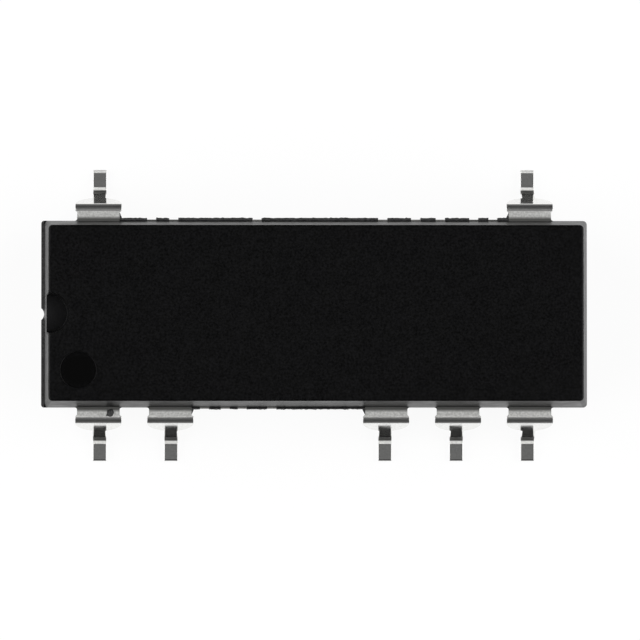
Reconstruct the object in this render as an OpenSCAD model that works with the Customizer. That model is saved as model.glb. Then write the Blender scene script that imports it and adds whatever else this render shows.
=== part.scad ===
// Surface-mount DC-DC converter: a wound ring core, a driver and two rectifiers on a lead frame,
// moulded into one block, with seven gull-wing leads on a fourteen-position outline.
// Sizes are in millimetres. The origin is the middle of the soldering plane. +X runs from the
// notched end to the plain end, leads 1 to 7 stand on the -Y side, and +Z is up.

/* [Moulded body] */
// Length of the body at the parting line
body_length = 19.18; // [18.4:0.02:21]
// Width of the body at the parting line
body_width = 6.60; // [6.5:0.05:7.6]
// Thickness of the body
body_height = 3.60; // [3.4:0.05:5]
// Gap between the board and the underside of the body
standoff = 0.30; // [0.1:0.05:0.8]
// Draft of the side walls, in degrees
draft = 7; // [3:0.5:10]
// Radius of the upright corners
corner_radius = 0.10; // [0.05:0.01:0.4]
// Radius round the top and the bottom face
edge_radius = 0.06; // [0.02:0.01:0.15]
// How far the upper mould half sits out of line with the lower one, along the length
mould_shift = 0.10; // [0:0.01:0.16]

/* [Marks on the body] */
// Radius of the half-moon notch at the end of lead 1
notch_radius = 0.74; // [0.4:0.01:1]
// Depth of the notch
notch_depth = 0.90; // [0.3:0.05:1.2]
// Diameter of the round recess beside lead 1
dot_diameter = 1.28; // [0.8:0.02:1.6]
// Depth of the round recess
dot_depth = 0.10; // [0.04:0.01:0.25]
// Recess centre, from the notched edge of the top face
dot_from_end = 1.04; // [0.95:0.01:1.6]
// Recess centre, from the front edge of the top face
dot_from_front = 1.08; // [0.95:0.01:1.6]
// Width of the scar that the moulding gate leaves in the notched end
gate_width = 0.42; // [0.2:0.02:0.8]
// Depth of the gate scar
gate_depth = 0.10; // [0.04:0.01:0.2]
// Height of the gate scar below the parting line
gate_height = 0.70; // [0.3:0.05:1.2]
// Diameter of the two ejector marks on the underside
ejector_diameter = 1.50; // [0.8:0.1:2]
// Depth of the ejector marks
ejector_depth = 0.05; // [0.02:0.01:0.12]
// Distance between the ejector marks
ejector_spacing = 12.0; // [8:0.5:14]

/* [Flash] */
// How far the flash of the rear side stands out past the parting line
flash_rear = 0.10; // [0.05:0.01:0.2]
// How far the flash of the front side stands out past the parting line
flash_front = 0.08; // [0.05:0.01:0.2]
// Size of the fillet of resin where flash meets the side of a lead
flash_fillet = 0.10; // [0.02:0.01:0.15]

/* [Leads] */
// Distance between neighbouring lead positions
lead_pitch = 2.54; // [2.48:0.01:2.6]
// Thickness of the lead frame
lead_thickness = 0.25; // [0.2:0.01:0.3]
// Width of a lead where it leaves the body
neck_width = 1.50; // [1.2:0.02:1.6]
// Width of the shoulder, outside the line where the frame was trimmed
shoulder_width = 1.63; // [1.5:0.01:1.8]
// Width of the leg and the foot
leg_width = 0.46; // [0.4:0.01:0.7]
// Flat length between the body and the first bend
shoulder_reach = 0.30; // [0.2:0.01:0.4]
// Inside radius of the first bend
bend_radius = 0.03; // [0.02:0.01:0.1]
// Angle into the first bend at which the shoulder steps out
step_angle = 9; // [5:1:20]
// Lean of the drop away from upright, in degrees
lean = 18.5; // [8:0.5:25]
// Radius where the leg runs into the round end of the shoulder
leg_fillet = 0.08; // [0.02:0.01:0.15]
// Inside radius of the second bend
foot_radius = 0.25; // [0.15:0.01:0.35]
// Flat length of the foot
foot_length = 0.55; // [0.4:0.01:1]
// Radius of the rolled upper edge at the toe
toe_radius = 0.08; // [0.02:0.01:0.12]

/* [Lead frame inside the body] */
// Depth to which a lead keeps its neck width
neck_depth = 0.70; // [0.4:0.05:0.9]
// Width of the fingers and of the arms that carry the pads
finger_width = 0.90; // [0.6:0.05:1]
// Reach of a plain finger into the body
finger_reach = 1.55; // [1.2:0.05:1.8]
// Reach of the long finger of lead 5
long_finger_reach = 4.75; // [3:0.05:5]
// Width of a tie bar
tie_width = 0.33; // [0.25:0.01:0.36]
// How far a trimmed tie bar stands out past the parting line
tie_stub = 0.04; // [0.01:0.01:0.05]
// Tie bars of the driver pad along the rear side
driver_ties = [-5.74, -4.96];
// Tie bars of the rectifier pad along the rear side
rectifier_ties = [5.64, 6.31];
// Posts of the primary winding along the front side
primary_posts = [-3.87, -3.14];
// Posts of the centre tap and of the secondary winding along the rear side
secondary_posts = [2.42, 3.59, 4.46];
// Width of a post
post_width = 0.50; // [0.45:0.01:0.52]
// Depth of a post, from the body edge to its inner end
post_depth = 0.95; // [0.85:0.05:1]
// Length of a tie bar, from the body edge to the pad or post that it holds
tie_length = 0.35; // [0.2:0.05:0.4]
// Width of the driver pad and the rectifier pad, across the body
pad_width = 2.40; // [2:0.05:2.6]
// Edge of a pad beyond the outer one of its tie bars
pad_margin = 0.14; // [0.1:0.01:0.2]
// Length of the driver pad
driver_pad_length = 2.30; // [2.1:0.05:2.4]
// Length of the rectifier pad
rectifier_pad_length = 2.25; // [2.1:0.05:2.5]

/* [Wound core] */
// Position of the core along the body
core_x = -2.02; // [-2.04:0.01:-1.9]
// Outside diameter of the ring core
core_od = 4.20; // [3.8:0.05:4.3]
// Inside diameter of the ring core
core_id = 2.20; // [1.9:0.05:2.4]
// Height of the ring core
core_height = 1.10; // [0.8:0.05:1.2]
// Radius of the tumbled edges of the core
core_edge = 0.15; // [0.1:0.01:0.2]
// Thickness of the adhesive under the core
glue_thickness = 0.05; // [0.02:0.01:0.08]
// Width of the bar that carries the core
core_bar_width = 0.80; // [0.6:0.05:0.85]
// Depth of the bar across the front end of the core pad
cross_bar_depth = 0.40; // [0.3:0.05:0.4]
// Distance between the two front tie bars of the core pad
core_tie_spacing = 1.04; // [0.9:0.02:1.06]
// Diameter of the winding wire
wire_diameter = 0.16; // [0.12:0.01:0.17]
// Gap between the wire and the core
wire_gap = 0.02; // [0.02:0.005:0.04]
// Turns of the primary winding
primary_turns = 8; // [5:1:9]
// Turns of each half of the secondary winding
secondary_turns = 4; // [2:1:4]

/* [Dies and wires] */
// Length and width of the driver die
driver_die_size = [1.6, 1.5];
// Thickness of the driver die
driver_die_thickness = 0.28; // [0.2:0.01:0.35]
// Side of a rectifier die
rectifier_die_size = 0.85; // [0.6:0.05:0.9]
// Thickness of a rectifier die
rectifier_die_thickness = 0.25; // [0.2:0.01:0.3]
// Distance between the rectifier dies
rectifier_die_spacing = 1.10; // [1:0.05:1.2]
// Thickness of the film under a die
film_thickness = 0.03; // [0.02:0.01:0.05]
// Diameter of a bond wire
bond_diameter = 0.05; // [0.03:0.005:0.06]
// Height of a bond wire's loop
bond_loop = 0.30; // [0.2:0.05:0.4]
// Height of the loop that crosses a winding end
high_loop = 0.55; // [0.5:0.05:0.6]

/* [Hidden] */
$fn = 48;

// Colours
RESIN = "#1c1c1d";
TIN = "#b4b4b2";
COPPER = "#b5794f";
SILICON = "#5d6470";
FERRITE = "#3a3a3e";
GLUE = "#d8d2c0";
ENAMEL = "#a4502a";
GOLD = "#d9b25a";

// Heights
parting_z = standoff + body_height / 2;
half_height = body_height / 2;
frame_bottom = parting_z - lead_thickness / 2;
frame_top = parting_z + lead_thickness / 2;
top_z = standoff + body_height;

// Plan of the body
edge_y = body_width / 2;
wall_inset = half_height * tan(draft);
top_end_x = mould_shift / 2 - (body_length / 2 - wall_inset);
lower_end_x = -mould_shift / 2 - body_length / 2;
gate_radius = (gate_width * gate_width / 4 + gate_depth * gate_depth) / (2 * gate_depth);
edge_steps = 3;
slice = 0.01;
cut_margin = 0.5;

// Profile of a lead, seen along X: centres of the two bends and the straight drop between them
outer_bend_radius = bend_radius + lead_thickness;
bend_y = edge_y + shoulder_reach;
bend_z = frame_top - outer_bend_radius;
foot_bend_z = lead_thickness + foot_radius;
bend_fall = bend_z - foot_bend_z;
bend_run = (outer_bend_radius + foot_radius + bend_fall * sin(lean)) / cos(lean);
foot_bend_y = bend_y + bend_run;
drop_length = bend_run * sin(lean) + bend_fall * cos(lean);

// Lead frame
post_inner_y = edge_y - post_depth;
tie_inner_y = edge_y - tie_length;
bar_end_y = edge_y - tie_length;
driver_pad_x1 = driver_ties[1] + tie_width / 2 + pad_margin;
driver_pad_x0 = driver_pad_x1 - driver_pad_length;
rectifier_pad_x1 = rectifier_ties[1] + tie_width / 2 + pad_margin;
rectifier_pad_x0 = rectifier_pad_x1 - rectifier_pad_length;

// Wound core
core_z = frame_top + glue_thickness;
wire_offset = wire_diameter / 2 + wire_gap;
return_radius = core_od / 2 + wire_offset + wire_diameter + wire_gap;
wound_gap = 0.03;
wound_outer = return_radius + wire_diameter / 2 + wound_gap;
wound_inner = core_id / 2 - wire_offset - wire_diameter / 2 - wound_gap;
wound_bottom = core_z - wire_offset - wire_diameter / 2 - wound_gap;
wound_top = core_z + core_height + wire_offset + wire_diameter / 2 + wound_gap;
winding_half_angle = 50;
tap_half_angle = 8;
wire_sides = 8;
bond_sides = 6;
bond_steps = 8;
corner_steps = 3;
turn_steps = 4 * corner_steps;

// Dies
driver_pad_mid = (driver_pad_x0 + driver_pad_x1) / 2;
rectifier_pad_mid = (rectifier_pad_x0 + rectifier_pad_x1) / 2;
rectifier_die_x = [
  rectifier_pad_mid - rectifier_die_spacing / 2,
  rectifier_pad_mid + rectifier_die_spacing / 2
];
driver_die_top = frame_top + film_thickness + driver_die_thickness;
rectifier_die_top = frame_top + film_thickness + rectifier_die_thickness;

// Wire ends lie this high above the surface that they are joined to
wire_rest = wire_diameter / 2 + 0.01;
bond_rest = bond_diameter / 2 + 0.005;

// Position of a lead along the body, and the side that it stands on
function lead_x(n) = (n <= 7 ? n - 4 : 11 - n) * lead_pitch;
function lead_side(n) = n <= 7 ? -1 : 1;

// A swept round wire: a ring of points round each point of the path, carried along without twist
function unit(v) = v / norm(v);
function heading(path, i) = unit(path[min(i + 1, len(path) - 1)] - path[max(i - 1, 0)]);
function square_to(v, t) = unit(v - (v * t) * t);
function first_normal(t) = square_to(abs(t.z) < 0.9 ? [0, 0, 1] : [1, 0, 0], t);
function normals(path) = [
  for (i = 0, n = first_normal(heading(path, 0)); i < len(path);
       i = i + 1, n = i < len(path) ? square_to(n, heading(path, i)) : n) n
];
function ring(centre, t, n, r, sides) = [
  for (s = [0 : sides - 1])
    centre + r * (cos(360 * s / sides) * n + sin(360 * s / sides) * cross(t, n))
];
function wire_points(path, r, sides) =
  let (n = normals(path))
  [for (i = [0 : len(path) - 1]) each ring(path[i], heading(path, i), n[i], r, sides)];
function wire_faces(rings, sides) = [
  [for (s = [0 : sides - 1]) s],
  for (i = [0 : rings - 2], s = [0 : sides - 1])
    let (a = i * sides + s, b = i * sides + (s + 1) % sides)
    each [[a, a + sides, b + sides], [a, b + sides, b]],
  [for (s = [sides - 1 : -1 : 0]) (rings - 1) * sides + s]
];

// Turns wound round the rounded section of the ring core, from angle a0 to angle a1
function coil_point(step, angle) =
  let (
    corner = floor(step / corner_steps) % 4,
    bearing = (corner - 1 + (step % corner_steps) / (corner_steps - 1)) * 90,
    outside = corner < 2,
    low = corner == 0 || corner == 3,
    reach = core_edge + wire_offset,
    rho = (outside ? core_od / 2 - core_edge : core_id / 2 + core_edge) + reach * cos(bearing)
  )
  [
    core_x + rho * cos(angle),
    rho * sin(angle),
    (low ? core_z + core_edge : core_z + core_height - core_edge) + reach * sin(bearing)
  ];
function coil(a0, a1, turns) = [
  for (k = [0 : turns * turn_steps])
    coil_point(k + corner_steps - 1, a0 + (a1 - a0) * k / (turns * turn_steps))
];
// The end of a winding led back round the outside of the turns
function return_arc(a0, a1, z, steps) = [
  for (i = [0 : steps])
    let (a = a0 + (a1 - a0) * i / steps)
    [core_x + return_radius * cos(a), return_radius * sin(a), z]
];
// The two points where a wire lies along a post
function landing(x, side) = [
  [x, side * (post_inner_y + 0.12), frame_top + wire_rest],
  [x, side * (post_inner_y + 0.45), frame_top + wire_rest]
];
function backwards(path) = [for (i = [len(path) - 1 : -1 : 0]) path[i]];

// Routes of the winding ends, between the posts and the turns
low_z = frame_top + 0.20;
mid_z = frame_top + 0.36;
high_z = frame_top + 0.68;
primary_near_x = primary_posts[1] + 0.07;
primary_far_x = primary_posts[0] + 0.05;
tap_x = [secondary_posts[0] - 0.15, secondary_posts[0] + 0.03];
tap_run_x = core_x + return_radius;
primary_start = backwards(landing(primary_near_x, -1));
primary_return = return_arc(180 - winding_half_angle + 8, 212, mid_z + 0.16, 5);
primary_end = landing(primary_far_x, -1);
secondary_1_start = [
  [secondary_posts[1], post_inner_y + 0.55, frame_top + wire_rest],
  [secondary_posts[1] - 0.30, post_inner_y + 0.55, frame_top + 0.30],
  [core_x + 3.0, post_inner_y + 0.45, mid_z]
];
secondary_1_end = concat(
  [
    [tap_run_x + 0.25, 0.75, mid_z],
    [tap_x[0] - 0.17, post_inner_y - 0.12, low_z]
  ],
  landing(tap_x[0], 1)
);
secondary_2_start = concat(
  backwards(landing(tap_x[1], 1)),
  [
    [tap_x[1] - 0.17, post_inner_y - 0.30, low_z + 0.02],
    [tap_run_x + 0.55, 0.35, mid_z]
  ]
);
secondary_2_return = return_arc(8 - winding_half_angle, 25, high_z, 5);
secondary_2_end = concat(
  [
    [tap_run_x + 2.25, 1.75, high_z],
    [secondary_posts[2] - 0.25, post_inner_y - 0.15, low_z + 0.12]
  ],
  landing(secondary_posts[2], 1)
);
primary_path = concat(
  primary_start,
  coil(180 + winding_half_angle, 180 - winding_half_angle, primary_turns),
  primary_return,
  primary_end
);
secondary_1_path = concat(
  secondary_1_start,
  coil(winding_half_angle, tap_half_angle, secondary_turns),
  secondary_1_end
);
secondary_2_path = concat(
  secondary_2_start,
  coil(-tap_half_angle, -winding_half_angle, secondary_turns),
  secondary_2_return,
  secondary_2_end
);

// Bond wires: start, end and height of the loop
driver_x0 = driver_pad_mid - driver_die_size[0] / 2 + 0.2;
driver_x1 = driver_pad_mid + driver_die_size[0] / 2 - 0.2;
driver_y = driver_die_size[1] / 2 - 0.25;
finger_end_y = edge_y - finger_reach + 0.2;
driver_z = driver_die_top + bond_rest;
rectifier_z = rectifier_die_top + bond_rest;
frame_z = frame_top + bond_rest;
long_finger_end_y = long_finger_reach - edge_y;
bonds = [
  [[driver_x0, -driver_y, driver_z], [lead_x(1) + 0.12, -finger_end_y, frame_z], bond_loop],
  [[driver_x0, driver_y, driver_z], [lead_x(14) + 0.12, finger_end_y, frame_z], bond_loop],
  [[driver_x1, driver_y, driver_z], [driver_pad_x1 - 0.15, driver_y, frame_z], bond_loop],
  [[driver_x1, -driver_y, driver_z],
   [primary_posts[0] - 0.15, -post_inner_y - 0.25, frame_z], bond_loop],
  [[driver_x1, 0, driver_z],
   [primary_posts[1] - 0.15, -post_inner_y - 0.25, frame_z], high_loop],
  [[rectifier_die_x[0], 0.2, rectifier_z],
   [secondary_posts[1] + 0.1, post_inner_y + 0.1, frame_z], bond_loop],
  [[rectifier_die_x[1], 0.2, rectifier_z],
   [secondary_posts[2] + 0.17, post_inner_y + 0.1, frame_z], bond_loop],
  [[secondary_posts[0] + 0.19, post_inner_y + 0.1, frame_z],
   [secondary_posts[0] + 0.19, long_finger_end_y - 0.2, frame_z], bond_loop],
  [[secondary_posts[2] + 0.18, post_inner_y + 0.4, frame_z],
   [lead_x(8) - 0.3, post_inner_y - 0.2, frame_z], bond_loop]
];
function bond_path(p, q, loop) = [
  for (i = [0 : bond_steps])
    let (s = i / bond_steps)
    p + (q - p) * s + [0, 0, 4 * loop * s * (1 - s)]
];

module wire(path, diameter, sides) {
  polyhedron(
    points = wire_points(path, diameter / 2, sides),
    faces = wire_faces(len(path), sides),
    convexity = 10
  );
}

// Flat plan shapes of the lead frame
module bar(x0, x1, y0, y1) {
  translate([min(x0, x1), min(y0, y1)]) square([abs(x1 - x0), abs(y1 - y0)]);
}

module in_frame() {
  translate([0, 0, frame_bottom]) linear_extrude(lead_thickness) children();
}

// A tie bar from the inner y to the trimmed end
module tie(x, side, inner_y, out) {
  bar(x - tie_width / 2, x + tie_width / 2, side * inner_y, side * (edge_y + out));
}

// A lead's neck, and a finger or arm that reaches further in
module finger(n, reach, out) {
  side = lead_side(n);
  bar(lead_x(n) - neck_width / 2, lead_x(n) + neck_width / 2,
      side * (edge_y - neck_depth), side * (edge_y + out));
  bar(lead_x(n) - finger_width / 2, lead_x(n) + finger_width / 2,
      side * (edge_y - reach), side * (edge_y - neck_depth));
}

module pad_lead(n, x0, x1, ties, neck_out, tie_out) {
  finger(n, edge_y - pad_width / 2, neck_out);
  bar(x0, x1, -pad_width / 2, pad_width / 2);
  for (x = ties) tie(x, 1, pad_width / 2, tie_out);
}

// Plan of the inside part of a lead: neck_out and tie_out say how far it runs past the parting line
module lead_plan(n, neck_out, tie_out) {
  if (n == 2) pad_lead(n, driver_pad_x0, driver_pad_x1, driver_ties, neck_out, tie_out);
  else if (n == 6) pad_lead(n, rectifier_pad_x0, rectifier_pad_x1, rectifier_ties, neck_out, tie_out);
  else finger(n, n == 5 ? long_finger_reach : finger_reach, neck_out);
}

module post_plan(x, side, tie_out) {
  bar(x - post_width / 2, x + post_width / 2, side * post_inner_y, side * tie_inner_y);
  tie(x, side, tie_inner_y, tie_out);
}

module core_pad_plan(tie_out) {
  cross_half = (core_tie_spacing + tie_width) / 2;
  bar(core_x - core_bar_width / 2, core_x + core_bar_width / 2, -bar_end_y, bar_end_y);
  bar(core_x - cross_half, core_x + cross_half, -bar_end_y, -(bar_end_y - cross_bar_depth));
  tie(core_x, 1, bar_end_y, tie_out);
  for (x = [-1, 1]) tie(core_x + x * core_tie_spacing / 2, -1, bar_end_y, tie_out);
}

// A bend of the strip about an axis along X, from angle a0 to angle a1 above the outward direction
module bend(radius, width, a0, a1) {
  rotate([90, 0, 90])
    rotate([0, 0, a0])
      rotate_extrude(angle = a1 - a0)
        translate([radius, -width / 2])
          square([lead_thickness, width]);
}

// Flat pattern of the drop: the round end of the shoulder, the leg, and the fillets between them
module drop_pattern() {
  fillet_x = leg_width / 2 + leg_fillet;
  fillet_y = sqrt(pow(shoulder_width / 2 + leg_fillet, 2) - pow(fillet_x, 2));
  intersection() {
    circle(d = shoulder_width);
    translate([-shoulder_width / 2, 0]) square([shoulder_width, shoulder_width]);
  }
  translate([-leg_width / 2, 0]) square([leg_width, drop_length]);
  for (side = [-1, 1])
    difference() {
      polygon([[0, 0], [side * fillet_x, fillet_y], [0, fillet_y]]);
      translate([side * fillet_x, fillet_y]) circle(r = leg_fillet);
    }
}

// Side profile of the foot, with the rolled edge at the toe
module foot_profile() {
  square([foot_length - toe_radius, lead_thickness]);
  square([foot_length, lead_thickness - toe_radius]);
  translate([foot_length - toe_radius, lead_thickness - toe_radius]) circle(r = toe_radius);
}

// The part of a lead outside the body, with the outward direction along +Y
module lead_outside() {
  translate([-neck_width / 2, edge_y, frame_bottom]) cube([neck_width, shoulder_reach, lead_thickness]);
  translate([0, bend_y, bend_z]) {
    bend(bend_radius, neck_width, lean, 90);
    bend(bend_radius, shoulder_width, lean, 90 - step_angle);
    translate([0, bend_radius * cos(lean), bend_radius * sin(lean)])
      rotate([lean - 90, 0, 0])
        linear_extrude(lead_thickness) drop_pattern();
  }
  translate([0, foot_bend_y, foot_bend_z]) bend(foot_radius, leg_width, 180 + lean, 270);
  translate([-leg_width / 2, foot_bend_y, 0])
    rotate([90, 0, 90])
      linear_extrude(leg_width) foot_profile();
}

module lead(n) {
  color(TIN) {
    translate([lead_x(n), 0, 0]) rotate([0, 0, lead_side(n) > 0 ? 0 : 180]) lead_outside();
    in_frame() lead_plan(n, 0, tie_stub);
  }
}

// One mould half, from the parting plane at z = 0 up to its face, as drafted slices
module mould_half_slice(z, inset) {
  for (x = [-1, 1], y = [-1, 1])
    translate([
      x * (body_length / 2 - inset - corner_radius),
      y * (body_width / 2 - inset - corner_radius),
      z
    ])
      cylinder(r = corner_radius, h = slice, $fn = 32);
}

module mould_half() {
  round_start = half_height - edge_radius;
  hull() {
    mould_half_slice(0, 0);
    for (i = [0 : edge_steps]) {
      turn = 90 * i / edge_steps;
      mould_half_slice(
        round_start + edge_radius * sin(turn) - slice,
        round_start * tan(draft) + edge_radius * (1 - cos(turn))
      );
    }
  }
}

// Resin squeezed out between two leads of a row, with a fillet up the side of each
module flash_plan(x0, x1, side, reach) {
  bar(x0, x1, side * (edge_y - neck_depth), side * (edge_y + reach));
  for (end = [[x0, 1], [x1, -1]])
    polygon([
      [end[0], side * (edge_y + reach)],
      [end[0] + end[1] * flash_fillet, side * (edge_y + reach)],
      [end[0], side * (edge_y + reach + flash_fillet)]
    ]);
}

module flash() {
  in_frame() {
    flash_plan(lead_x(14) + neck_width / 2, lead_x(8) - neck_width / 2, 1, flash_rear);
    flash_plan(lead_x(2) + neck_width / 2, lead_x(5) - neck_width / 2, -1, flash_front);
  }
}

// Space of the lead frame, with the tie bars run out through the flash
module frame_space() {
  in_frame() {
    for (n = [1, 2, 5, 6, 7, 8, 14]) lead_plan(n, cut_margin, cut_margin);
    for (x = primary_posts) post_plan(x, -1, cut_margin);
    for (x = secondary_posts) post_plan(x, 1, cut_margin);
    core_pad_plan(cut_margin);
  }
}

module die_space(x, size_x, size_y, z) {
  translate([x - size_x / 2, -size_y / 2, parting_z]) cube([size_x, size_y, z - parting_z]);
}

module wound_space() {
  translate([core_x, 0, 0])
    rotate_extrude()
      translate([wound_inner, wound_bottom])
        square([wound_outer - wound_inner, wound_top - wound_bottom]);
}

// Straight channel that clears a wire between two points
module channel(p, q, width, rise) {
  run = norm([q.x - p.x, q.y - p.y]);
  low = min(p.z, q.z) - width / 2;
  high = max(p.z, q.z) + width / 2 + rise;
  translate([p.x, p.y, low])
    rotate([0, 0, atan2(q.y - p.y, q.x - p.x)])
      translate([-width / 2, -width / 2, 0])
        cube([run + width, width, high - low]);
}

module wire_channels(path) {
  for (i = [0 : len(path) - 2])
    channel(path[i], path[i + 1], wire_diameter + 2 * wound_gap, 0);
}

// Each winding end's channel runs on to the first point inside the wound space
module winding_channels() {
  wire_channels(concat(primary_start, [coil_point(corner_steps - 1, 180 + winding_half_angle)]));
  wire_channels(concat([primary_return[len(primary_return) - 1]], primary_end));
  wire_channels(concat(secondary_1_start, [coil_point(corner_steps - 1, winding_half_angle)]));
  wire_channels(concat([coil_point(corner_steps - 1, tap_half_angle)], secondary_1_end));
  wire_channels(concat(secondary_2_start, [coil_point(corner_steps - 1, -tap_half_angle)]));
  wire_channels(concat([secondary_2_return[len(secondary_2_return) - 1]], secondary_2_end));
}

module body_marks() {
  translate([top_end_x, 0, top_z - notch_depth]) cylinder(r = notch_radius, h = notch_depth + cut_margin);
  translate([top_end_x + dot_from_end, -(edge_y - wall_inset) + dot_from_front, top_z - dot_depth])
    cylinder(d = dot_diameter, h = dot_depth + cut_margin);
  translate([lower_end_x + gate_depth - gate_radius, 0, parting_z - gate_height])
    cylinder(r = gate_radius, h = gate_height);
  for (x = [-1, 1])
    translate([x * ejector_spacing / 2 - mould_shift / 2, 0, standoff - cut_margin])
      cylinder(d = ejector_diameter, h = ejector_depth + cut_margin);
}

module housing() {
  color(RESIN)
    difference() {
      union() {
        translate([mould_shift / 2, 0, parting_z]) mould_half();
        translate([-mould_shift / 2, 0, parting_z]) mirror([0, 0, 1]) mould_half();
        flash();
      }
      frame_space();
      die_space(driver_pad_mid, driver_die_size[0], driver_die_size[1], driver_die_top);
      for (x = rectifier_die_x) die_space(x, rectifier_die_size, rectifier_die_size, rectifier_die_top);
      wound_space();
      winding_channels();
      for (b = bonds) channel(b[0], b[1], bond_diameter + 2 * wound_gap, b[2]);
      body_marks();
    }
}

module core_pad() {
  color(COPPER) in_frame() core_pad_plan(tie_stub);
}

module post(x, side) {
  color(COPPER) in_frame() post_plan(x, side, tie_stub);
}

module die(x, size_x, size_y, thickness) {
  color(SILICON)
    translate([x - size_x / 2, -size_y / 2, frame_top + film_thickness])
      cube([size_x, size_y, thickness]);
}

module film(x, size_x, size_y) {
  translate([x - size_x / 2, -size_y / 2, frame_top]) cube([size_x, size_y, film_thickness]);
}

module driver_die() {
  die(driver_pad_mid, driver_die_size[0], driver_die_size[1], driver_die_thickness);
}

module rectifier_die(x) {
  die(x, rectifier_die_size, rectifier_die_size, rectifier_die_thickness);
}

module die_attach() {
  color(GLUE) {
    film(driver_pad_mid, driver_die_size[0], driver_die_size[1]);
    for (x = rectifier_die_x) film(x, rectifier_die_size, rectifier_die_size);
  }
}

// Ring core with tumbled edges
module toroid_core() {
  section = (core_od - core_id) / 2;
  color(FERRITE)
    translate([core_x, 0, core_z])
      rotate_extrude()
        translate([core_id / 2, 0]) {
          translate([0, core_edge]) square([section, core_height - 2 * core_edge]);
          translate([core_edge, 0]) square([section - 2 * core_edge, core_height]);
          for (r = [core_edge, section - core_edge], z = [core_edge, core_height - core_edge])
            translate([r, z]) circle(r = core_edge);
        }
}

// Two dabs, where the flat of the core crosses the bar of its pad
module core_adhesive() {
  flat_width = (core_od - core_id) / 2 - 2 * core_edge;
  flat_mid = (core_od + core_id) / 4;
  color(GLUE)
    for (side = [-1, 1])
      translate([core_x, side * flat_mid, frame_top])
        cylinder(d = min(flat_width, core_bar_width), h = glue_thickness);
}

module winding(path) {
  color(ENAMEL) wire(path, wire_diameter, wire_sides);
}

module bond_wires() {
  color(GOLD)
    for (b = bonds) wire(bond_path(b[0], b[1], b[2]), bond_diameter, bond_sides);
}

housing();
lead(1);  // lead_1
lead(2);  // lead_2
lead(5);  // lead_5
lead(6);  // lead_6
lead(7);  // lead_7
lead(8);  // lead_8
lead(14);  // lead_14
core_pad();
post(primary_posts[0], -1);  // primary_post_1
post(primary_posts[1], -1);  // primary_post_2
post(secondary_posts[0], 1);  // tap_post
post(secondary_posts[1], 1);  // secondary_post_1
post(secondary_posts[2], 1);  // secondary_post_2
driver_die();
rectifier_die(rectifier_die_x[0]);  // rectifier_die_1
rectifier_die(rectifier_die_x[1]);  // rectifier_die_2
die_attach();
toroid_core();
core_adhesive();
winding(primary_path);  // primary_winding
winding(secondary_1_path);  // secondary_winding_1
winding(secondary_2_path);  // secondary_winding_2
bond_wires();
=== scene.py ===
# %% [markdown]
# This scene dresses a surface-mount DC-DC converter: a black moulded block, 19 mm long, that stands
# on seven gull-wing leads. The CAD model gives every piece its place and its size. Here the block and
# the leads are modelled again with smooth bends, rolled edges and torn flash, every piece gets its
# real finish, and the camera stands where the photograph was taken, almost straight above.

# %% Load the frame
import math
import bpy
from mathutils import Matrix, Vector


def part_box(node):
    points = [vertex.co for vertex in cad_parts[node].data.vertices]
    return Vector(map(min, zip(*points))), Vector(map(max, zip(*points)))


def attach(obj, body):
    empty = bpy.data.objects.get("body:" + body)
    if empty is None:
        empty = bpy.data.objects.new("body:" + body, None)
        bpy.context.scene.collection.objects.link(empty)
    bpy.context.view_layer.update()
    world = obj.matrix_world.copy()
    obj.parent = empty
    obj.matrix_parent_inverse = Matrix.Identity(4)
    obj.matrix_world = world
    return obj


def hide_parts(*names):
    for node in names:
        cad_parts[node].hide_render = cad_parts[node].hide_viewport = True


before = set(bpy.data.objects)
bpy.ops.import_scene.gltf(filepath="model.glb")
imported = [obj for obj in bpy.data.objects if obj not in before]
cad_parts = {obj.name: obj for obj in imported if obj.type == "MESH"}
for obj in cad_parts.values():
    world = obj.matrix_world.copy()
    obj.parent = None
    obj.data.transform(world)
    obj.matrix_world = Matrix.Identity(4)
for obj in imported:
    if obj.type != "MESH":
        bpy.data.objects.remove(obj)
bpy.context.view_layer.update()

from types import SimpleNamespace

import bmesh
import bpy
from mathutils import Euler, Vector

print("CAD nodes:", len(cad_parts))

# %% [markdown]
# The block is only millimetres high, while Blender counts in metres. Many tools have a merging
# distance that would swallow such small detail, so each piece is modelled at one unit to the
# millimetre and shrunk once it is finished. The heights come from the CAD nodes. The other sizes are
# the block's and the leads' own, as a drawing would give them.

# %% Sizes in millimetres
MM = 0.001
housing_low, housing_high = [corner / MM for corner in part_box("housing")]
lead_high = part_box("lead_14")[1] / MM

parting_z = (housing_low.z + housing_high.z) / 2
half_height = (housing_high.z - housing_low.z) / 2
mould_shift = 0.10
body_length = housing_high.x - housing_low.x - mould_shift
body_width = 6.60
edge_y = body_width / 2
draft = math.radians(7)
wall_inset = half_height * math.tan(draft)
frame_thickness = 0.25
frame_low = parting_z - frame_thickness / 2
frame_high = parting_z + frame_thickness / 2
lead_pitch = 2.54
neck_half = 0.75
print("body", round(body_length, 2), "x", body_width, "x", round(2 * half_height, 2), "mm")

# %% [markdown]
# The photograph looks down on the part from far away with a long lens, so that the two rows of leads
# show almost alike. The front flank shows a little more than the rear one, which tells how far the
# camera leans to the front. A short lens close by would spread the leads apart instead.

# %% Camera
camera_distance = 205
camera_lean = Euler((math.radians(1.42), math.radians(-0.70), 0))
camera_aim = Vector((0.205, -0.205, parting_z))
camera_offset = camera_lean.to_matrix() @ Vector((0, 0, camera_distance))

camera_data = bpy.data.cameras.new("photo_camera")
camera_data.lens = 326.4
camera_data.sensor_width = 36
camera_data.clip_start = 0.001
camera = bpy.data.objects.new("photo_camera", camera_data)
camera.location = (camera_aim + camera_offset) * MM
camera.rotation_euler = camera_lean
bpy.context.scene.collection.objects.link(camera)
bpy.context.scene.camera = camera
bpy.context.scene.view_settings.view_transform = "Standard"
print("camera height", round(camera.location.z / MM, 1), "mm")

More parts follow.
